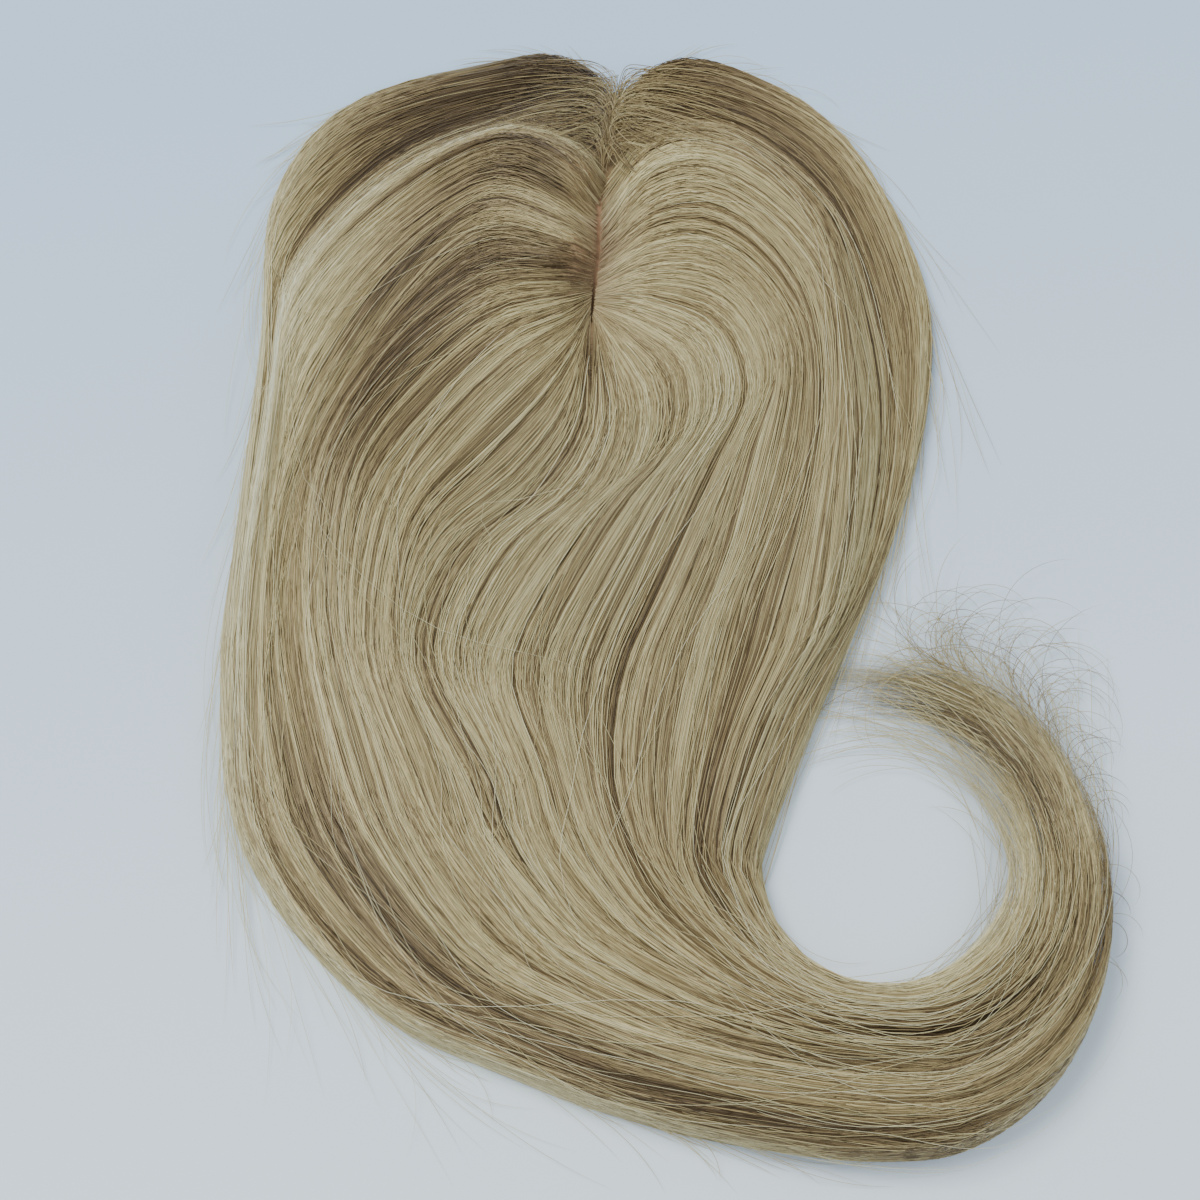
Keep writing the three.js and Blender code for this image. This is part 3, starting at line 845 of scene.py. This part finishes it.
def front_hairs(rng, count):
    """Hair that rises forward out of the parting, where the two sides meet, and falls over to both."""
    t = np.linspace(0, 1, 18)[:, None]
    hairs = []
    for hair in range(count):
        side = rng.choice([-1, 1])
        behind = rng.random()
        y = 69 - 32 * behind + rng.normal(0, 2)
        x = parting_x(y) + side * rng.uniform(-0.6, 1.4)
        guide = LAST_GUIDE / 2 + side * (3.97 - 1.6 * behind)
        station = rng.uniform(1.0, 2.6)
        tangent = directions(guide, station)[0]
        root = np.array([x, y, cap_top(x, y) + rng.uniform(2, 3.2)])
        rise = np.array([x + side * rng.uniform(-1.5, 4), 84 - 30 * behind + rng.normal(0, 2),
                         6 + 15 * behind + rng.normal(0, 0.5)])
        end = surface(guide, station) + [0, 0, 0.4]
        fall = end + np.append(-tangent * rng.uniform(10, 17), 1)
        points = (1 - t) ** 3 * root + 3 * (1 - t) ** 2 * t * rise
        points = points + 3 * (1 - t) * t ** 2 * fall + t ** 3 * end
        hairs.append({
            "points": points,
            "tone": np.clip(rng.normal(0.44, 0.13) - (0.24 if side < 0 else 0.12) * t.ravel(), 0, 1),
            "root": (1 - smoothstep(t, 0, 0.2)).ravel() * 0.4,
            "thickness": taper(len(t), 4) * rng.uniform(1.1, 1.6),
        })
    return hairs


# Hairs along an edge: how many, the guide, the first and last station, how far they turn away, the least
# and greatest length in millimetres, the tone, and how unruly they are
EDGE_BUNCHES = [
    (170, 0.05, (2.5, 9), 0.12, (20, 75), 0.78, 0.5),
    (90, 0.05, (0.3, 3), 0.2, (12, 34), 0.7, 0.2),
    (90, 7.95, (0.3, 3), 0.25, (12, 34), 0.7, 0.2),
    (110, 7.95, (2.5, 8.5), 0.1, (25, 70), 0.65, 0.2),
    (60, 0.05, (8.5, 12.5), 0.08, (12, 40), 0.6, 0.8),
]
OTHER_BUNCHES = [(curl_hairs, 270), (tip_wisps, 190), (loop_hairs, 26), (stray_hairs, 170), (front_hairs, 300)]


def loose_hairs(rng):
    hairs = [hair for bunch in EDGE_BUNCHES for hair in edge_hairs(rng, *bunch)]
    hairs += [hair for make, count in OTHER_BUNCHES for hair in make(rng, count)]
    return [hair for hair in hairs if near_enough(hair)]


# The mass of hair under the strands

BED_SINK = 0.3
BED_COLUMNS = 30
BED_ROWS = 120
BED_START = 0.12
BED_INSET = 0.4  # how far the bed keeps inside its strands on the outside of the curl, in guides
TIP_LENGTH = 70
TIP_SHARE = 0.04
CAP_GAP = 0.4


def grid_faces(rows, columns, start):
    """Faces of a grid of points, row by row."""
    corner = start + (np.arange(rows - 1)[:, None] * columns + np.arange(columns - 1)[None, :]).ravel()
    return np.stack([corner, corner + columns, corner + columns + 1, corner + 1], 1)


def lock_bed(name, low, high):
    """A closed body under a lock's strands, from the cap or the table up to just below them."""
    middle = (low + high) / 2
    half = (high - low) / 2
    table = line_table(middle)
    last_row = THINNING_START + 1.4 - 2.6 * smoothstep(middle, 4.8, 6.9)
    end = min(float(stations_at(middle, 0.95 * HAIR_LENGTH)), last_row)
    stations = BED_START + (end - BED_START) * np.linspace(0, 1, BED_ROWS)
    lengths = np.interp(stations, LINE_STATIONS, table)
    left = lengths[-1] - lengths
    tip = TIP_SHARE + (1 - TIP_SHARE) * np.minimum(1, left / TIP_LENGTH) ** 0.6
    steps = np.linspace(-1, 1, BED_COLUMNS)
    guides = middle + steps[None, :] * half * tip[:, None]
    spread = np.broadcast_to(stations[:, None], guides.shape)
    guides = held_in(guides, spread, BED_INSET)
    along = np.broadcast_to(lengths[:, None], guides.shape)
    tangent, square, width = directions(guides, spread)
    own_guides = unswayed(guides, spread)
    place = np.interp(own_guides, WIDTH_GUIDES, WIDTH_SUMS)
    own_place = place - shared_drift(place, along)
    drop, push = groove_shape(own_place, along, width / MEAN_GUIDE_WIDTH)
    top = surface(guides, spread)
    shift_x, shift_y = root_shift(guides, along, 1, 1.2, ROOT_SETTLED)
    shift_over_cap(top, shift_x, shift_y)
    cap = cap_top(top[..., 0], top[..., 1])
    bottom = np.where(cap > 0, cap + CAP_GAP, 0.05)
    sink = BED_SINK + 2.2 * smoothstep(spread, 16, 20)
    top[..., 2] = np.maximum((top[..., 2] + drop - sink) * (tip ** 0.6)[:, None], bottom + 0.2)
    under = top.copy()
    under[..., 2] = bottom
    rows, columns = guides.shape
    count = rows * columns
    upper = grid_faces(rows, columns, 0)
    lower = grid_faces(rows, columns, count)[:, ::-1]
    rim_left = np.arange(rows) * columns
    rim_right = rim_left + columns - 1
    rim_root = np.arange(columns)
    rim_tip = rim_root + (rows - 1) * columns
    walls = []
    for rim, flip in ((rim_left, False), (rim_right, True), (rim_root, True), (rim_tip, False)):
        wall = np.stack([rim[:-1], rim[:-1] + count, rim[1:] + count, rim[1:]], 1)
        walls.append(wall[:, ::-1] if flip else wall)
    faces = np.concatenate([upper, lower] + walls)
    # painted shade: the bed darker down in the grooves
    tone = tone_at(guides, spread, own_place, along) + 0.35 * drop
    attributes = {
        "across": np.tile((own_place * np.clip(width / MEAN_GUIDE_WIDTH, 0.15, 1.5)).ravel(), 2),
        "along": np.tile(along.ravel(), 2),
        "tone": np.tile(tone.ravel(), 2),
        "root": np.tile((1 - smoothstep(along, 1, 12)).ravel(), 2),
    }
    vertices = to_world(np.concatenate([top.reshape(-1, 3), under.reshape(-1, 3)]))
    piece = add_mesh(name, vertices, [], faces.tolist(), attributes)
    piece.data.shade_smooth()
    add_bed_map(piece.data, len(upper), len(lower), rows, columns)
    return piece


def add_bed_map(mesh, upper, lower, rows, columns):
    """A bake map: the top over most of it, the underside beside it, and the walls in a thin strip."""
    count = rows * columns
    corners = np.empty(len(mesh.loops), np.int32)
    mesh.loops.foreach_get("vertex_index", corners)
    u = (corners % count % columns) / (columns - 1)
    v = 0.01 + 0.98 * (corners % count // columns) / (rows - 1)
    face = np.arange(len(corners)) // 4
    on_top = face < upper
    on_wall = face >= upper + lower
    u = np.where(on_top, 0.01 + 0.73 * u, 0.76 + 0.16 * u)
    u = np.where(on_wall, 0.94 + 0.05 * (corners >= count), u)
    layer = mesh.uv_layers.new(name="OFBake")
    layer.data.foreach_set("uv", np.stack([u, v], 1).astype(np.float32).ravel())


# Materials

def new_material(name):
    material = bpy.data.materials.new(name)
    material.use_nodes = True
    material.node_tree.nodes.clear()
    return material, material.node_tree


def finish_material(tree, settings, links):
    """A Principled surface with its constants set on its own sockets."""
    shader = add_node(tree, "ShaderNodeBsdfPrincipled", inputs={**settings, **links})
    add_node(tree, "ShaderNodeOutputMaterial", inputs={"Surface": shader.outputs["BSDF"]})


def colour_ramp(tree, factor, stops):
    ramp = add_node(tree, "ShaderNodeValToRGB", inputs={"Fac": factor})
    elements = ramp.color_ramp.elements
    while len(elements) < len(stops):
        elements.new(1.0)
    for element, (position, colour) in zip(elements, stops):
        element.position = position
        element.color = linear(colour)
    return ramp.outputs["Color"]


HAIR_STOPS = [(0.0, "#4e3a1e"), (0.25, "#8c744d"), (0.5, "#c4af7b"), (0.75, "#e1d29e"), (1.0, "#f6ecc4")]
ROOT_BROWN = "#8a6a4a"


def carried_value(tree, name):
    """A value that the hair's mesh carries."""
    return add_node(tree, "ShaderNodeAttribute", {"attribute_name": name}).outputs["Fac"]


def hair_colour(tree, tone, root_strength):
    """Ash blonde from dark to light by tone, which carries both the strands' own darker and lighter colour and
    the painted shade and light; warm brown where it comes out of the cap.
    """
    colour = colour_ramp(tree, tone, HAIR_STOPS)
    strength = add_node(tree, "ShaderNodeMath", {"operation": "MULTIPLY"},
                        {0: carried_value(tree, "root"), 1: root_strength})
    rooted = add_node(tree, "ShaderNodeMix", {"data_type": "RGBA"}, {
        "Factor": strength.outputs[0], "A": colour, "B": linear(ROOT_BROWN)})
    return rooted.outputs["Result"]


def hair_material():
    """Bleached human hair: soft ash blonde with a low, smooth gloss."""
    material, tree = new_material("ash_blonde_hair")
    finish_material(tree, {"Roughness": 0.38, "Specular IOR Level": 0.45},
                    {"Base Color": hair_colour(tree, carried_value(tree, "tone"), 0.75)})
    return material


def bed_material():
    """The same hair as it shows between the strands: fine streaks along it, with painted shade that makes it a
    little darker.
    """
    material, tree = new_material("ash_blonde_under_hair")
    stretched = add_node(tree, "ShaderNodeMath", {"operation": "MULTIPLY"},
                         {0: carried_value(tree, "along"), 1: 0.02})
    place = add_node(tree, "ShaderNodeCombineXYZ",
                     inputs={"X": carried_value(tree, "across"), "Y": stretched.outputs[0]})
    streaks = add_node(tree, "ShaderNodeTexNoise", inputs={
        "Vector": place.outputs[0], "Scale": 1.1, "Detail": 3.0, "Roughness": 0.75})
    # painted shade: the streaks are centred below zero, so the bed is darker than the strands above it
    centred = add_node(tree, "ShaderNodeMath", {"operation": "MULTIPLY_ADD"},
                       {0: streaks.outputs["Fac"], 1: 0.9, 2: -0.53})
    streaked = add_node(tree, "ShaderNodeMath", {"operation": "ADD"},
                        {0: carried_value(tree, "tone"), 1: centred.outputs[0]})
    bump = add_node(tree, "ShaderNodeBump", inputs={
        "Height": streaks.outputs["Fac"], "Strength": 0.7, "Distance": 0.5 * MM})
    finish_material(tree, {"Roughness": 0.5, "Specular IOR Level": 0.3},
                    {"Base Color": hair_colour(tree, streaked.outputs[0], 0.85),
                     "Normal": bump.outputs["Normal"]})
    return material


def cap_material():
    """Silk top over lace: matte, skin coloured, with a fine woven grain."""
    material, tree = new_material("silk_and_lace_cap")
    place = add_node(tree, "ShaderNodeTexCoord")
    weave = add_node(tree, "ShaderNodeTexVoronoi", inputs={
        "Vector": place.outputs["Object"], "Scale": 1 / (0.8 * MM)})
    patches = add_node(tree, "ShaderNodeTexNoise", inputs={
        "Vector": place.outputs["Object"], "Scale": 1 / (9 * MM), "Detail": 3.0})
    colour = colour_ramp(tree, patches.outputs["Fac"], [(0.3, "#8f6b4c"), (0.7, "#a5805e")])
    bump = add_node(tree, "ShaderNodeBump", inputs={
        "Height": weave.outputs["Distance"], "Strength": 0.35, "Distance": 0.15 * MM})
    finish_material(tree, {"Roughness": 0.8, "Specular IOR Level": 0.2},
                    {"Base Color": colour, "Normal": bump.outputs["Normal"]})
    return material


def clip_material():
    """Pressed spring steel under brown lacquer: satin, with faint wear."""
    material, tree = new_material("lacquered_clip_steel")
    place = add_node(tree, "ShaderNodeTexCoord")
    wear = add_node(tree, "ShaderNodeTexNoise", inputs={
        "Vector": place.outputs["Object"], "Scale": 1 / (2.5 * MM), "Detail": 4.0})
    colour = colour_ramp(tree, wear.outputs["Fac"], [(0.4, "#2e241d"), (0.75, "#55453a")])
    bump = add_node(tree, "ShaderNodeBump", inputs={
        "Height": wear.outputs["Fac"], "Strength": 0.1, "Distance": 0.1 * MM})
    finish_material(tree, {"Metallic": 0.7, "Roughness": 0.35},
                    {"Base Color": colour, "Normal": bump.outputs["Normal"]})
    return material


def paper_material():
    """Plain matte drawing paper, cool and pale, with painted light: lighter towards the near side and a little
    towards the right.
    """
    material, tree = new_material("pale_paper")
    place = add_node(tree, "ShaderNodeTexCoord")
    parts = add_node(tree, "ShaderNodeSeparateXYZ", inputs={"Vector": place.outputs["Object"]})
    # painted light: the paper grows lighter towards the near side and to the right
    aside = add_node(tree, "ShaderNodeMath", {"operation": "MULTIPLY_ADD"},
                     {0: parts.outputs["X"], 1: 0.6, 2: 0.5})
    shade = add_node(tree, "ShaderNodeMath", {"operation": "MULTIPLY_ADD"},
                     {0: parts.outputs["Y"], 1: -2.8, 2: aside.outputs[0]})
    colour = colour_ramp(tree, shade.outputs[0], [(0.0, "#c4d8ee"), (0.9, "#f1f8fd")])
    finish_material(tree, {"Roughness": 0.9, "Specular IOR Level": 0.1}, {"Base Color": colour})
    return material


# Floor, lights and camera

CAMERA_ELEVATION = 68
CAMERA_DISTANCE = 620
CAMERA_LENS = 74.4
CAMERA_TARGET = (1.25, -74.6)  # the point at the picture's middle, from the cap's centre


def make_floor(material):
    size = 1.6
    corners = [(-size, -size, 0), (size, -size, 0), (size, size, 0), (-size, size, 0)]
    floor = add_mesh("paper_floor", corners, [], [(0, 1, 2, 3)], {})
    floor.data.materials.append(material)


def make_light(name, place, size, power, colour):
    """A round soft light that faces the frame's origin."""
    light = bpy.data.lights.new(name, "AREA")
    light.shape = "DISK"
    light.size = size
    light.energy = power
    light.color = linear(colour)[:3]
    lamp = bpy.data.objects.new(name, light)
    lamp.location = place
    x, y, z = place
    lamp.rotation_euler = (math.atan2(math.hypot(x, y), z), 0, math.atan2(y, x) + math.pi / 2)
    bpy.context.scene.collection.objects.link(lamp)


def make_world():
    world = bpy.data.worlds.new("soft_daylight")
    world.use_nodes = True
    background = world.node_tree.nodes["Background"]
    background.inputs["Color"].default_value = linear("#dff0ff")
    background.inputs["Strength"].default_value = 0.78
    bpy.context.scene.world = world


def make_camera():
    data = bpy.data.cameras.new("camera")
    data.lens = CAMERA_LENS
    camera = bpy.data.objects.new("camera", data)
    tilt = math.radians(CAMERA_ELEVATION)
    target = to_world(np.array([CAMERA_TARGET[0], CAMERA_TARGET[1], 0.0]))
    back = np.array([0, -math.cos(tilt), math.sin(tilt)])
    camera.location = target + back * CAMERA_DISTANCE * MM
    camera.rotation_euler = (math.pi / 2 - tilt, 0, 0)
    bpy.context.scene.collection.objects.link(camera)
    bpy.context.scene.camera = camera


def dress_cad_nodes():
    cap = cap_material()
    clip = clip_material()
    for name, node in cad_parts.items():
        if name.startswith("lock_"):
            continue
        node.data.materials.clear()
        node.data.materials.append(cap if name == "base_cap" else clip)


def make_hair():
    strand_finish = hair_material()
    bed_finish = bed_material()
    tree = strand_tube_tree(strand_finish)
    rng = np.random.default_rng(SEED)
    for name, low, high in LOCKS:
        bed = lock_bed(name + "_bed", low, high)
        bed.data.materials.append(bed_finish)
        strands = tubes_from(name + "_strands", lock_strands(low, high, rng), tree, STRAND_WIDTH)
        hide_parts(name)
        for piece in (bed, strands):
            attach(piece, "root")
    loose = tubes_from("loose_hairs", loose_hairs(rng), tree, LOOSE_WIDTH)
    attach(loose, "root")


make_camera()
make_world()
make_light("window", (-0.75, 0.38, 1.6), 1.0, 26, "#fbffff")
make_light("fill", (0.9, -0.6, 1.1), 1.2, 4.3, "#eaf4ff")
make_floor(paper_material())
dress_cad_nodes()
make_hair()
